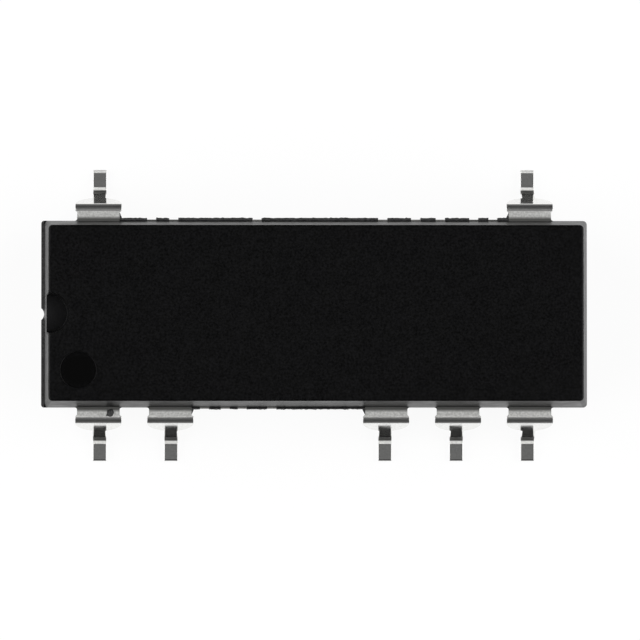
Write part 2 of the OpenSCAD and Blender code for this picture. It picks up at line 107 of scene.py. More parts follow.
# %% [markdown]
# Every material here is a small tree of nodes. One function adds a node with its settings and its
# links, so that a tree reads from top to bottom like a recipe. Colours are written as sRGB hex, the
# way a colour picker shows them, and turned to the linear values that Blender works with.


# %% Nodes and colours
def linear(colour):
    parts = [int(colour[i:i + 2], 16) / 255 for i in (1, 3, 5)]
    return [c / 12.92 if c <= 0.04045 else ((c + 0.055) / 1.055) ** 2.4 for c in parts] + [1]


def add(tree, kind, inputs=None, **settings):
    node = tree.nodes.new(kind)
    for name, value in settings.items():
        setattr(node, name, value)
    for name, value in (inputs or {}).items():
        socket = next(s for i, s in enumerate(node.inputs) if s.enabled and name in (s.name, i))
        if isinstance(value, bpy.types.NodeSocket):
            tree.links.new(value, socket)
        else:
            socket.default_value = value
    return node


def result(node):
    return next(socket for socket in node.outputs if socket.enabled)


def new_material(name):
    material = bpy.data.materials.new(name)
    material.use_nodes = True
    material.node_tree.nodes.clear()
    return material, material.node_tree


def per_mm(size):
    return 1 / (size * MM)


print("linear mid grey:", [round(c, 3) for c in linear("#808080")])

# %% [markdown]
# Small metal parts are mirrors, so the light is chosen for what they mirror: the dim lens and its
# surroundings straight above, a dark tent in front and behind, and two large soft boxes at the ends
# of the part, which only matt surfaces pick up from here. Lamps would leave hard patches on such
# small bends, so all this is painted in the world, by the angle from straight up and by the side.
# What the camera sees past the table is white.

# %% Light tent
# Angle from straight up in degrees, and brightness there
lens_and_tent = [(0, 0.15), (27, 0.14), (34, 0.03), (90, 0.03)]
end_boxes = [(0, 0.15), (28, 0.15), (36, 3.2), (74, 3.2), (82, 0.05), (90, 0.05)]
# Share of the way round to the ends where the boxes begin, and where they are full
boxes_from = 0.55
boxes_full = 0.80

world = bpy.data.worlds.new("light_tent")
world.use_nodes = True
tree = world.node_tree
tree.nodes.clear()
way = add(tree, "ShaderNodeTexCoord")
parts = add(tree, "ShaderNodeSeparateXYZ", {0: way.outputs["Generated"]})
angle = add(tree, "ShaderNodeMath", {0: parts.outputs["Z"]}, operation="ARCCOSINE")
quarter = add(tree, "ShaderNodeMath", {0: angle.outputs[0], 1: math.pi / 2}, operation="DIVIDE")
across = add(tree, "ShaderNodeMath", {0: parts.outputs["X"]}, operation="ABSOLUTE")
level_part = add(tree, "ShaderNodeMath", {0: angle.outputs[0]}, operation="SINE")
sideways = add(tree, "ShaderNodeMath", {0: across.outputs[0], 1: level_part.outputs[0]}, operation="DIVIDE")
at_ends = add(tree, "ShaderNodeMapRange", {
    "Value": sideways.outputs[0], "From Min": boxes_from, "From Max": boxes_full},
    interpolation_type="SMOOTHSTEP")
profiles = []
for stops in (lens_and_tent, end_boxes):
    ramp = add(tree, "ShaderNodeValToRGB", {"Fac": quarter.outputs[0]})
    while len(ramp.color_ramp.elements) < len(stops):
        ramp.color_ramp.elements.new(0.5)
    for element, (degrees, level) in zip(ramp.color_ramp.elements, stops):
        element.position = degrees / 90
        element.color = (level, level, level, 1)
    profiles.append(ramp.outputs["Color"])
light = add(tree, "ShaderNodeMix", {
    "Factor": at_ends.outputs[0], "A": profiles[0], "B": profiles[1]}, data_type="RGBA")
cloth = add(tree, "ShaderNodeBackground", {"Color": result(light), "Strength": 1.0})
white = add(tree, "ShaderNodeBackground", {"Color": linear("#ffffff"), "Strength": 1.0})
rays = add(tree, "ShaderNodeLightPath")
seen = add(tree, "ShaderNodeMixShader", {
    0: rays.outputs["Is Camera Ray"], 1: cloth.outputs[0], 2: white.outputs[0]})
add(tree, "ShaderNodeOutputWorld", {"Surface": seen.outputs[0]})
bpy.context.scene.world = world
print("light tent of", len(lens_and_tent), "steps, end boxes of", len(end_boxes))

# %% [markdown]
# The table is a plain white sheet. The camera sees it white by itself, and only a share of it is left
# to the light, which is where the soft shadow round the part shows. In the metal it shows a painted
# pool of light, white near the part and dim further off.

# %% Table
shadow_share = 0.08
pool_middle = -0.15
pool_near = 6.5
pool_far = 7.1
pool_stretch = 0.55
pool_dim = 0.06
table_metres = 4

paper, tree = new_material("white_table_paper")
rays = add(tree, "ShaderNodeLightPath")
place = add(tree, "ShaderNodeTexCoord")
spot = add(tree, "ShaderNodeSeparateXYZ", {0: place.outputs["Object"]})
lengthwise = add(tree, "ShaderNodeMath", {0: spot.outputs["X"], 1: pool_stretch}, operation="MULTIPLY")
crosswise = add(tree, "ShaderNodeMath", {0: spot.outputs["Y"], 1: pool_middle * MM}, operation="SUBTRACT")
along = add(tree, "ShaderNodeMath", {0: lengthwise.outputs[0]}, operation="ABSOLUTE")
across = add(tree, "ShaderNodeMath", {0: crosswise.outputs[0]}, operation="ABSOLUTE")
away = add(tree, "ShaderNodeMath", {0: along.outputs[0], 1: across.outputs[0]}, operation="MAXIMUM")
# painted pool of light: in mirrors the table is bright near the part and dim further off
pool = add(tree, "ShaderNodeMapRange", {
    "Value": away.outputs[0], "From Min": pool_near * MM, "From Max": pool_far * MM,
    "To Min": 1.0, "To Max": pool_dim})
mirrored = add(tree, "ShaderNodeMath", {
    0: rays.outputs["Is Glossy Ray"], 1: rays.outputs["Is Transmission Ray"]}, operation="MAXIMUM")
looked_at = add(tree, "ShaderNodeMath", {
    0: rays.outputs["Is Camera Ray"], 1: mirrored.outputs[0]}, operation="MAXIMUM")
share = add(tree, "ShaderNodeMath", {0: looked_at.outputs[0], 1: 1 - shadow_share}, operation="MULTIPLY")
white = add(tree, "ShaderNodeMath", {
    0: rays.outputs["Is Camera Ray"], 1: pool.outputs[0]}, operation="MAXIMUM")
sheet = add(tree, "ShaderNodeBsdfDiffuse", {"Color": linear("#fafafa")})
glow = add(tree, "ShaderNodeEmission", {"Color": linear("#ffffff"), "Strength": white.outputs[0]})
mixed = add(tree, "ShaderNodeMixShader", {0: share.outputs[0], 1: sheet.outputs[0], 2: glow.outputs[0]})
add(tree, "ShaderNodeOutputMaterial", {"Surface": mixed.outputs[0]})

bpy.ops.object.select_all(action="DESELECT")
bpy.ops.mesh.primitive_plane_add(size=table_metres)
table = bpy.context.object
table.name = "table"
table.data.materials.append(paper)
print("table", [round(side, 1) for side in table.dimensions], "m")

# %% [markdown]
# The block is cast from black epoxy full of fine silica, in a steel mould whose walls were eroded by
# sparks. That leaves a matt, slightly grainy skin: very dark from above, and grey where a wall is seen
# at a low angle and mirrors the white table. Where resin was squeezed out and broken off, along the
# parting line, it is rougher and greyer. The steel was polished where it pressed the round recess, so
# that is smooth. The notch floor is painted paler, painted light against the shade of the deep notch.
# The grain is drawn coarser than the real one, of about 0.01 mm, because that is too fine to show here.

# %% Black moulding compound
top_end_x = mould_shift / 2 - (body_length / 2 - wall_inset)
dot_from_end = 1.04
dot_from_front = 1.08
dot_x = top_end_x + dot_from_end
dot_y = wall_inset + dot_from_front - edge_y
dot_radius = 0.64
polish_inside = 0.20
polish_outside = 0.05
notch_radius = 0.74
notch_fade = 0.15
ledge_x = (mould_shift - body_length) / 2
ledge_depth = 0.01
flash_from = edge_y + 0.005
flash_full = edge_y + 0.015
grain_size = 0.08
cloud_size = 0.5
grain_depth = 0.008

resin, tree = new_material("epoxy_moulding_compound")
place = add(tree, "ShaderNodeTexCoord")
grain = add(tree, "ShaderNodeTexNoise", {
    "Vector": place.outputs["Object"], "Scale": per_mm(grain_size), "Detail": 4.0, "Roughness": 0.7})
cloud = add(tree, "ShaderNodeTexNoise", {
    "Vector": place.outputs["Object"], "Scale": per_mm(cloud_size), "Detail": 4.0})
speckle = add(tree, "ShaderNodeMapRange", {
    "Value": grain.outputs["Fac"], "From Min": 0.35, "From Max": 0.65})
from_dot = add(tree, "ShaderNodeMapping", {
    "Vector": place.outputs["Object"], "Location": (-dot_x * MM, -dot_y * MM, 0), "Scale": (1, 1, 0)})
dot_distance = add(tree, "ShaderNodeVectorMath", {0: from_dot.outputs[0]}, operation="LENGTH")
outside_dot = add(tree, "ShaderNodeMapRange", {
    "Value": dot_distance.outputs["Value"], "From Min": (dot_radius - polish_inside) * MM,
    "From Max": (dot_radius + polish_outside) * MM})
from_notch = add(tree, "ShaderNodeMapping", {
    "Vector": place.outputs["Object"], "Location": (-top_end_x * MM, 0, 0), "Scale": (1, 1, 0)})
notch_distance = add(tree, "ShaderNodeVectorMath", {0: from_notch.outputs[0]}, operation="LENGTH")
notch_floor = add(tree, "ShaderNodeMapRange", {
    "Value": notch_distance.outputs["Value"], "From Min": (notch_radius + notch_fade) * MM,
    "From Max": 0.0})
spot = add(tree, "ShaderNodeSeparateXYZ", {0: place.outputs["Object"]})
outward = add(tree, "ShaderNodeMath", {0: spot.outputs["Y"]}, operation="ABSOLUTE")
flash = add(tree, "ShaderNodeMapRange", {
    "Value": outward.outputs[0], "From Min": flash_from * MM, "From Max": flash_full * MM})
past_end = add(tree, "ShaderNodeMath", {0: spot.outputs["X"], 1: ledge_x * MM}, operation="LESS_THAN")
at_parting = add(tree, "ShaderNodeMath", {
    0: spot.outputs["Z"], 1: (parting_z - ledge_depth) * MM}, operation="GREATER_THAN")
ledge = add(tree, "ShaderNodeMath", {
    0: past_end.outputs[0], 1: at_parting.outputs[0]}, operation="MULTIPLY")
broken = add(tree, "ShaderNodeMath", {0: flash.outputs[0], 1: ledge.outputs[0]}, operation="MAXIMUM")
moulded = add(tree, "ShaderNodeMix", {
    "Factor": speckle.outputs[0], "A": linear("#000000"), "B": linear("#101011")}, data_type="RGBA")
smooth = add(tree, "ShaderNodeMix", {
    "Factor": outside_dot.outputs[0], "A": linear("#050505"), "B": result(moulded)}, data_type="RGBA")
# painted light: the notch floor is lightened against the shade of the deep notch
notch_floor_painted_light = add(tree, "ShaderNodeMix", {
    "Factor": notch_floor.outputs[0], "A": result(smooth), "B": linear("#1b1b1c")}, data_type="RGBA")
torn = add(tree, "ShaderNodeMix", {
    "Factor": speckle.outputs[0], "A": linear("#2e2e2e"), "B": linear("#4c4c4c")}, data_type="RGBA")
tint = add(tree, "ShaderNodeMix", {
    "Factor": broken.outputs[0], "A": result(notch_floor_painted_light), "B": result(torn)}, data_type="RGBA")
matt = add(tree, "ShaderNodeMapRange", {
    "Value": cloud.outputs["Fac"], "From Min": 0.3, "From Max": 0.7, "To Min": 0.31, "To Max": 0.38})
polish = add(tree, "ShaderNodeMapRange", {
    "Value": outside_dot.outputs[0], "To Min": 0.12, "To Max": matt.outputs[0]})
gloss = add(tree, "ShaderNodeMapRange", {
    "Value": broken.outputs[0], "To Min": polish.outputs[0], "To Max": 0.65})
depth = add(tree, "ShaderNodeMapRange", {
    "Value": outside_dot.outputs[0], "To Min": 0.05, "To Max": 0.5})
relief = add(tree, "ShaderNodeBump", {
    "Height": grain.outputs["Fac"], "Strength": depth.outputs[0], "Distance": grain_depth * MM})
skin = add(tree, "ShaderNodeBsdfPrincipled", {
    "Base Color": result(tint), "Roughness": gloss.outputs[0], "IOR": 1.55,
    "Specular IOR Level": 0.10, "Normal": relief.outputs[0]})
add(tree, "ShaderNodeOutputMaterial", {"Surface": skin.outputs[0]})
print("material:", resin.name)

# %% [markdown]
# The leads are copper alloy strip with bright tin plating, a greyish white metal. Legs and feet are
# almost mirrors: the leg shows the foot, and the foot shows the dark lens. The shoulder was clamped
# while the lead was bent, which left it matt and grainy, and over the bend the stretched plating is
# satin. The tool also frosted a line in the hollow above the foot, with a strip of painted shade over it.
# The toes of the rear row, sheared from above, are matt at the edge that was pulled down. Right at
# the body, the metal is painted darker, as painted shade where the lead meets the body. These zones
# are picked by the distance from the middle.

# %% Tin plate
body_shade_end = 3.41
body_shade_fade = 0.05
clamp_end = 3.635
clamp_fade = 0.015
bend_end = 3.86
bend_fade = 0.03
hollow_shade_from = 4.29
hollow_shade_full = 4.33
hollow_from = 4.32
hollow_full = 4.36
frost_middle = 4.515
frost_half = 0.055
frost_fade = 0.02
sheared_from = 5.06
sheared_full = 5.11
line_width = 0.04
crystal_size = 0.07
rub_size = 0.4
crystal_depth = 0.004

tin, tree = new_material("bright_tin_plate_on_strip")
place = add(tree, "ShaderNodeTexCoord")
along = add(tree, "ShaderNodeMapping", {
    "Vector": place.outputs["Object"], "Scale": (1.0, 0.06, 0.06)})
lines = add(tree, "ShaderNodeTexNoise", {
    "Vector": along.outputs[0], "Scale": per_mm(line_width), "Detail": 2.0})
crystals = add(tree, "ShaderNodeTexNoise", {
    "Vector": place.outputs["Object"], "Scale": per_mm(crystal_size), "Detail": 3.0})
rub = add(tree, "ShaderNodeTexNoise", {
    "Vector": place.outputs["Object"], "Scale": per_mm(rub_size), "Detail": 3.0})
parts = add(tree, "ShaderNodeSeparateXYZ", {0: place.outputs["Object"]})
outward = add(tree, "ShaderNodeMath", {0: parts.outputs["Y"]}, operation="ABSOLUTE")
clamped = add(tree, "ShaderNodeMapRange", {
    "Value": outward.outputs[0], "From Min": (clamp_end + clamp_fade) * MM,
    "From Max": (clamp_end - clamp_fade) * MM})
body_shade = add(tree, "ShaderNodeMapRange", {
    "Value": outward.outputs[0], "From Min": (body_shade_end + body_shade_fade) * MM,
    "From Max": (body_shade_end - body_shade_fade) * MM})
from_frost = add(tree, "ShaderNodeMath", {
    0: outward.outputs[0], 1: frost_middle * MM}, operation="SUBTRACT")
frost_reach = add(tree, "ShaderNodeMath", {0: from_frost.outputs[0]}, operation="ABSOLUTE")
frosted = add(tree, "ShaderNodeMapRange", {
    "Value": frost_reach.outputs[0], "From Min": (frost_half + frost_fade) * MM,
    "From Max": (frost_half - frost_fade) * MM})
grit = add(tree, "ShaderNodeMapRange", {
    "Value": crystals.outputs["Fac"], "From Min": 0.35, "From Max": 0.65})
clean = add(tree, "ShaderNodeMix", {
    "Factor": grit.outputs[0], "A": linear("#eaeae8"), "B": linear("#f4f4f2")}, data_type="RGBA")
ground = add(tree, "ShaderNodeMix", {
    "Factor": grit.outputs[0], "A": linear("#c8c8c6"), "B": linear("#e0e0de")}, data_type="RGBA")
pressed = add(tree, "ShaderNodeMix", {
    "Factor": clamped.outputs[0], "A": result(clean), "B": result(ground)}, data_type="RGBA")
# painted shade: the metal is darker right at the body, where the lead meets it
body_shaded = add(tree, "ShaderNodeMix", {
    "Factor": body_shade.outputs[0], "A": result(pressed), "B": linear("#6c6c6a")}, data_type="RGBA")
before_frost = add(tree, "ShaderNodeMath", {
    0: outward.outputs[0], 1: frost_middle * MM}, operation="LESS_THAN")
hollow_shade = add(tree, "ShaderNodeMapRange", {
    "Value": outward.outputs[0], "From Min": hollow_shade_from * MM, "From Max": hollow_shade_full * MM})
hollow_shade_mask = add(tree, "ShaderNodeMath", {
    0: hollow_shade.outputs[0], 1: before_frost.outputs[0]}, operation="MULTIPLY")
# painted shade: a darker strip at the foot of the leg, in the hollow above the foot, up to the frosted line
hollow_shaded = add(tree, "ShaderNodeMix", {
    "Factor": hollow_shade_mask.outputs[0], "A": result(body_shaded), "B": linear("#626260")}, data_type="RGBA")
tint = add(tree, "ShaderNodeMix", {
    "Factor": frosted.outputs[0], "A": result(hollow_shaded), "B": result(clean)}, data_type="RGBA")
mirror = add(tree, "ShaderNodeMapRange", {
    "Value": rub.outputs["Fac"], "From Min": 0.3, "From Max": 0.7, "To Min": 0.07, "To Max": 0.12})
stretched = add(tree, "ShaderNodeMapRange", {
    "Value": outward.outputs[0], "From Min": (bend_end + bend_fade) * MM,
    "From Max": (bend_end - bend_fade) * MM, "To Min": mirror.outputs[0], "To Max": 0.28})
shoulder = add(tree, "ShaderNodeMapRange", {
    "Value": clamped.outputs[0], "To Min": stretched.outputs[0], "To Max": 0.75})
sheared = add(tree, "ShaderNodeMapRange", {
    "Value": parts.outputs["Y"], "From Min": sheared_from * MM, "From Max": sheared_full * MM})
hollow = add(tree, "ShaderNodeMapRange", {
    "Value": outward.outputs[0], "From Min": hollow_from * MM, "From Max": hollow_full * MM})
rubbed = add(tree, "ShaderNodeMath", {
    0: hollow.outputs[0], 1: before_frost.outputs[0]}, operation="MULTIPLY")
worn = add(tree, "ShaderNodeMath", {0: rubbed.outputs[0], 1: sheared.outputs[0]}, operation="MAXIMUM")
satin = add(tree, "ShaderNodeMapRange", {
    "Value": worn.outputs[0], "To Min": shoulder.outputs[0], "To Max": 0.6})
gloss = add(tree, "ShaderNodeMapRange", {
    "Value": frosted.outputs[0], "To Min": satin.outputs[0], "To Max": 0.85})
both = add(tree, "ShaderNodeMath", {0: lines.outputs["Fac"], 1: crystals.outputs["Fac"]})
depth = add(tree, "ShaderNodeMapRange", {
    "Value": clamped.outputs[0], "To Min": 0.05, "To Max": 0.6})
relief = add(tree, "ShaderNodeBump", {
    "Height": both.outputs[0], "Strength": depth.outputs[0], "Distance": crystal_depth * MM})
skin = add(tree, "ShaderNodeBsdfPrincipled", {
    "Base Color": result(tint), "Metallic": 1.0, "Roughness": gloss.outputs[0],
    "Normal": relief.outputs[0]})
add(tree, "ShaderNodeOutputMaterial", {"Surface": skin.outputs[0]})
print("material:", tin.name)


# %% [markdown]
# The tools that a hand would reach for again and again: select by place, apply a modifier, cut or
# join one shape with another, and set a finished piece down in metres on the CAD body. An operator
# acts on everything that is selected, so each helper starts by deselecting. Two points closer than the
# touching distance count as one place, and points within the merging distance become one.

# %% Modelling helpers
touching = 1e-4
merging = 0.0005


def work_on(piece):
    if bpy.context.mode != "OBJECT":
        bpy.ops.object.mode_set(mode="OBJECT")
    bpy.ops.object.select_all(action="DESELECT")
    piece.select_set(True)
    bpy.context.view_layer.objects.active = piece


def block(name, low, high):
    bpy.ops.object.select_all(action="DESELECT")
    middle = [(a + b) / 2 for a, b in zip(low, high)]
    size = [b - a for a, b in zip(low, high)]
    bpy.ops.mesh.primitive_cube_add(size=1, location=middle, scale=size)
    bpy.ops.object.transform_apply(location=True, rotation=True, scale=True)
    bpy.context.object.name = name
    return bpy.context.object


def pick(piece, kind, test):
    modes = {"verts": "VERT", "edges": "EDGE", "faces": "FACE"}
    bpy.ops.mesh.select_mode(type=modes[kind])
    bpy.ops.mesh.select_all(action="DESELECT")
    mesh = bmesh.from_edit_mesh(piece.data)
    chosen = [part for part in getattr(mesh, kind) if test(part)]
    for part in chosen:
        part.select_set(True)
    bmesh.update_edit_mesh(piece.data)
    return len(chosen)


def modify(piece, kind, **settings):
    work_on(piece)
    modifier = piece.modifiers.new(kind.lower(), kind)
    for name, value in settings.items():
        setattr(modifier, name, value)
    bpy.ops.object.modifier_apply(modifier=modifier.name)


def combine(piece, tool, operation):
    modify(piece, "BOOLEAN", object=tool, operation=operation, solver="EXACT")
    bpy.data.objects.remove(tool)


def set_down(piece, material, slot, *nodes, crease=35):
    work_on(piece)
    bpy.ops.object.mode_set(mode="EDIT")
    bpy.ops.mesh.select_all(action="SELECT")
    bpy.ops.mesh.remove_doubles(threshold=merging)
    bpy.ops.mesh.normals_make_consistent(inside=False)
    bpy.ops.object.mode_set(mode="OBJECT")
    bpy.ops.object.shade_smooth_by_angle(angle=math.radians(crease))
    modify(piece, "WEIGHTED_NORMAL", keep_sharp=True, weight=100, thresh=0.0001)
    piece.scale = (MM, MM, MM)
    bpy.ops.object.transform_apply(location=True, rotation=True, scale=True)
    piece.data.materials.clear()
    piece.data.materials.append(material)
    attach(piece, "root")
    if nodes:
        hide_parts(*nodes)
    print(piece.name, len(piece.data.polygons), "faces")


# %% [markdown]
# The block comes out of a two-part mould. Each half tapers away from the parting plane so that it
# lets go of the steel, and here the two halves did not meet quite in line, which leaves a narrow step
# at either end. Each half is a cube whose outer face is drawn in, and whose edges are then rounded:
# first the upright corners, which are rounder on the upper half, then the rim of the outer face.

# %% Two mould halves
lower_corner = 0.10
upper_corner = 0.14
rim_radius = 0.06


def mould_half(name, shift, up, corner):
    outer_z = parting_z + up * half_height
    low = (shift - body_length / 2, -edge_y, min(parting_z, outer_z))
    high = (shift + body_length / 2, edge_y, max(parting_z, outer_z))
    half = block(name, low, high)
    work_on(half)
    bpy.ops.object.mode_set(mode="EDIT")
    pick(half, "faces", lambda face: face.normal.z * up > 0.9)
    bpy.ops.transform.resize(
        value=(1 - 2 * wall_inset / body_length, 1 - 2 * wall_inset / body_width, 1),
        center_override=(shift, 0, outer_z))
    pick(half, "edges", lambda edge: abs(edge.verts[0].co.z - edge.verts[1].co.z) > half_height / 2)
    bpy.ops.mesh.bevel(offset=corner, segments=6, affect="EDGES")
    pick(half, "edges", lambda edge: all(abs(v.co.z - outer_z) < touching for v in edge.verts))
    bpy.ops.mesh.bevel(offset=rim_radius, segments=4, affect="EDGES")
    bpy.ops.object.mode_set(mode="OBJECT")
    return half


moulded_block = mould_half("moulded_block", -mould_shift / 2, -1, lower_corner)
combine(moulded_block, mould_half("upper_half", mould_shift / 2, 1, upper_corner), "UNION")
print("moulded block", [round(side, 2) for side in moulded_block.dimensions], "mm")

# %% [markdown]
# Three kinds of round mark are sunk into the block: the half-moon notch and the round recess that
# show which end is lead 1, and two shallow prints of ejector pins underneath. Each is cut by a turned
# tool: a circle, extruded and widened step by step along a profile with a rounded floor and a
# slightly flared rim. A plain cylinder would leave two knife edges that no mould has. The notch is deep,
# so its wall slopes like the block's own, and its two ends are rounded where it opens at the end wall.

# %% Marks in the block
notch_depth = 0.80
notch_taper = notch_depth * math.tan(draft)
notch_rounding = 0.09
notch_margin = 1.1 * notch_taper
dot_depth = 0.10
ejector_radius = 0.75
ejector_depth = 0.05
ejector_half_spacing = 6.0
floor_fillet = 0.015
rim_flare = 0.004


def turned_tool(name, x, y, radius, mouth_z, depth, up, taper=0.0):
    floor_z = mouth_z - up * depth
    floor_radius = radius - taper - floor_fillet
    corner = [math.radians(22.5 * i) for i in range(5)]
    profile = [(floor_radius + floor_fillet * math.sin(a), floor_z + up * floor_fillet * (1 - math.cos(a)))
               for a in corner]
    lip = [math.radians(25 * i) for i in range(4)]
    profile += [(radius + rim_flare * (1 - math.cos(a)), mouth_z - up * rim_flare * (1 - math.sin(a)))
                for a in lip]
    profile.append((profile[-1][0] + rim_flare, mouth_z + up * rim_flare))
    bpy.ops.object.select_all(action="DESELECT")
    first_radius, first_z = profile[0]
    bpy.ops.mesh.primitive_circle_add(vertices=72, radius=first_radius, fill_type="NGON",
                                      location=(x, y, first_z))
    bpy.ops.object.transform_apply(location=True)
    tool = bpy.context.object
    tool.name = name
    bpy.ops.object.mode_set(mode="EDIT")
    bpy.ops.mesh.select_all(action="SELECT")
    for (r0, z0), (r1, z1) in zip(profile, profile[1:]):
        bpy.ops.mesh.extrude_region_move(TRANSFORM_OT_translate={"value": (0, 0, z1 - z0)})
        bpy.ops.transform.resize(value=(r1 / r0, r1 / r0, 1), center_override=(x, y, z1))
    bpy.ops.mesh.select_all(action="SELECT")
    bpy.ops.mesh.normals_make_consistent(inside=False)
    bpy.ops.object.mode_set(mode="OBJECT")
    return tool


top_z = housing_high.z
underside_z = housing_low.z
notch = turned_tool("notch", top_end_x, 0, notch_radius, top_z, notch_depth, 1, taper=notch_taper)
combine(moulded_block, notch, "DIFFERENCE")
work_on(moulded_block)
bpy.ops.object.mode_set(mode="EDIT")
notch_ends = pick(moulded_block, "edges", lambda edge: all(
    v.co.x < top_end_x and v.co.z > parting_z and abs(abs(v.co.y) - notch_radius) < notch_margin
    for v in edge.verts) and abs(edge.verts[0].co.z - edge.verts[1].co.z) > notch_depth / 2)
bpy.ops.mesh.bevel(offset=notch_rounding, segments=4, affect="EDGES")
bpy.ops.object.mode_set(mode="OBJECT")
print("rounded ends of the notch:", notch_ends)
dot = turned_tool("dot", dot_x, dot_y, dot_radius, top_z, dot_depth, 1)
combine(moulded_block, dot, "DIFFERENCE")
for way in (-1, 1):
    ejector_x = way * ejector_half_spacing - mould_shift / 2
    mark = turned_tool("ejector", ejector_x, 0, ejector_radius, underside_z, ejector_depth, -1)
    combine(moulded_block, mark, "DIFFERENCE")
print("marks cut, faces:", len(moulded_block.data.polygons))

# %% [markdown]
# The resin entered the mould through a gate in the notched end, under the parting plane. When the
# runner was broken off, it took a shallow bite with it. A drum that stands upright against the end
# wall, and only just reaches into it, cuts that bite.

# %% Gate scar
gate_width = 0.42
gate_depth = 0.10
gate_height = 0.70
gate_clear = 0.02
gate_radius = (gate_width ** 2 / 4 + gate_depth ** 2) / (2 * gate_depth)
gate_x = -mould_shift / 2 - body_length / 2 + gate_depth - gate_radius

bpy.ops.object.select_all(action="DESELECT")
bpy.ops.mesh.primitive_cylinder_add(
    vertices=64, radius=gate_radius, depth=gate_height + gate_clear,
    location=(gate_x, 0, parting_z + (gate_clear - gate_height) / 2))
gate_scar = bpy.context.object
bpy.ops.object.transform_apply(location=True)
combine(moulded_block, gate_scar, "DIFFERENCE")
print("gate scar cut, faces:", len(moulded_block.data.polygons))

# %% [markdown]
# Between the leads the mould halves did not close on metal, so a thin web of resin squeezed out as
# far as the trimming tool allowed. It runs along most of the rear side and the middle of the front,
# with a gap at each tie bar of the lead frame, and it climbs a little up the side of a lead. Each
# stretch is a bar, divided along its length, whose outer edge is then roughened at random. That leaves
# its faces twisted, so they are split into flat triangles before the bar is joined to the wall.

# %% Flash
tie_width = 0.33
rear_ties = [-5.74, -4.96, -2.02, 2.42, 3.59, 4.46, 5.64, 6.31]
front_ties = [-3.87, -3.14, -2.54, -1.50]
flash_climb = 0.18
flash_root = 0.40
flash_step = 0.09
flash_roughness = 0.022
flash_end = 0.03
rear_flash = 0.10
front_flash = 0.06


def flash_bar(x0, x1, side, reach, climbs, seed):
    tip_y = edge_y + reach
    near, far = sorted((side * (edge_y - flash_root), side * tip_y))
    bar = block("flash", (x0, near, frame_low), (x1, far, frame_high))
    work_on(bar)
    bpy.ops.object.mode_set(mode="EDIT")
    pick(bar, "edges", lambda edge: abs(edge.verts[0].co.x - edge.verts[1].co.x) > (x1 - x0) / 2)
    bpy.ops.mesh.subdivide(number_cuts=max(3, round((x1 - x0) / flash_step)))
    pick(bar, "verts", lambda v: v.co.y * side > tip_y - touching)
    bpy.ops.transform.vertex_random(offset=flash_roughness, seed=seed)
    for end, climb in zip((x0, x1), climbs):
        if climb:
            pick(bar, "verts", lambda v: v.co.y * side > edge_y and abs(v.co.x - end) < flash_end)
            bpy.ops.transform.translate(value=(0, side * flash_climb, 0))
    bpy.ops.mesh.select_all(action="SELECT")
    bpy.ops.mesh.quads_convert_to_tris()
    bpy.ops.object.mode_set(mode="OBJECT")
    return bar


def flash_run(start, stop, ties, side, reach):
    cuts = [start] + [tie + end * tie_width / 2 for tie in ties for end in (-1, 1)] + [stop]
    stretches = list(zip(cuts[::2], cuts[1::2]))
    for number, (x0, x1) in enumerate(stretches):
        climbs = (number == 0, number == len(stretches) - 1)
        combine(moulded_block, flash_bar(x0, x1, side, reach, climbs, number + 1), "UNION")


rear_end = 3 * lead_pitch - neck_half
flash_run(-rear_end, rear_end, rear_ties, 1, rear_flash)
flash_run(neck_half - 2 * lead_pitch, lead_pitch - neck_half, front_ties, -1, front_flash)
print("flash joined, faces:", len(moulded_block.data.polygons))

# %% [markdown]
# Where no flash stands beside a lead, a little resin has still crept into the corner between lead and
# wall and dried there as a hollow fillet. A small bar fills the corner, and a round tool takes its
# outer part away. The bar is a little thinner than the lead, so that it stays hidden behind it.

# %% Resin in the corners
creep_radius = 0.07
creep_half = 0.115
creep_overlap = 0.02
front_corners = [(-3, -1), (-3, 1), (-2, -1), (1, 1), (2, -1), (2, 1), (3, -1), (3, 1)]
rear_corners = [(-3, -1), (3, 1)]


def fill_corner(position, way, side):
    lead_x = position * lead_pitch + way * neck_half
    across = sorted((lead_x - way * creep_overlap, lead_x + way * creep_radius))
    out = sorted((side * (edge_y - creep_radius), side * (edge_y + creep_radius)))
    low = (across[0], out[0], parting_z - creep_half)
    fillet = block("creep", low, (across[1], out[1], parting_z + creep_half))
    bpy.ops.object.select_all(action="DESELECT")
    bpy.ops.mesh.primitive_cylinder_add(
        vertices=40, radius=creep_radius, depth=1,
        location=(lead_x + way * creep_radius, side * (edge_y + creep_radius), parting_z))
    combine(fillet, bpy.context.object, "DIFFERENCE")
    combine(moulded_block, fillet, "UNION")


for position, way in front_corners:
    fill_corner(position, way, -1)
for position, way in rear_corners:
    fill_corner(position, way, 1)
set_down(moulded_block, resin, "moulding_resin", "housing")

# %% [markdown]
# A lead is stamped flat and then bent. It can be modelled the same way. Half of its outline is drawn
# by moving one corner point: a straight run is an extrude, a round one a spin. The mirror makes the
# other half, Solidify gives the strip its thickness, and a small bevel stands for the rolled edge
# that stamping leaves. A box for each stretch would leave seams in the bends. The bending tool took the
# rear row a little further out than the front one, with the feet in the same place, so the rear leads
# lean less. The lean is worked out from where the first bend and the foot are.

# %% Flat blank of a lead
shoulder_half = 0.815
leg_half = 0.23
finger_half = 0.45
neck_depth = 0.70
front_reach = 0.30
rear_reach = 0.345
step_length = 0.025
step_slant = 0.07
bend_radius = 0.03
foot_radius = 0.25
foot_length = 0.55
leg_fillet = 0.08
toe_radius = 0.08
rolled_edge = 0.01
front_lean = math.radians(18.5)
upright = math.radians(90)
bend_steps = 28

outer_radius = bend_radius + frame_thickness
bend_z = parting_z + frame_thickness / 2 - outer_radius
foot_bend_z = frame_thickness + foot_radius
bend_fall = bend_z - foot_bend_z
both_radii = outer_radius + foot_radius
foot_bend_x = front_reach + (both_radii + bend_fall * math.sin(front_lean)) / math.cos(front_lean)


def bend_length(radius, angle):
    middle_radius = radius + frame_thickness / 2
    return bend_steps * 2 * middle_radius * math.sin(angle / bend_steps / 2)


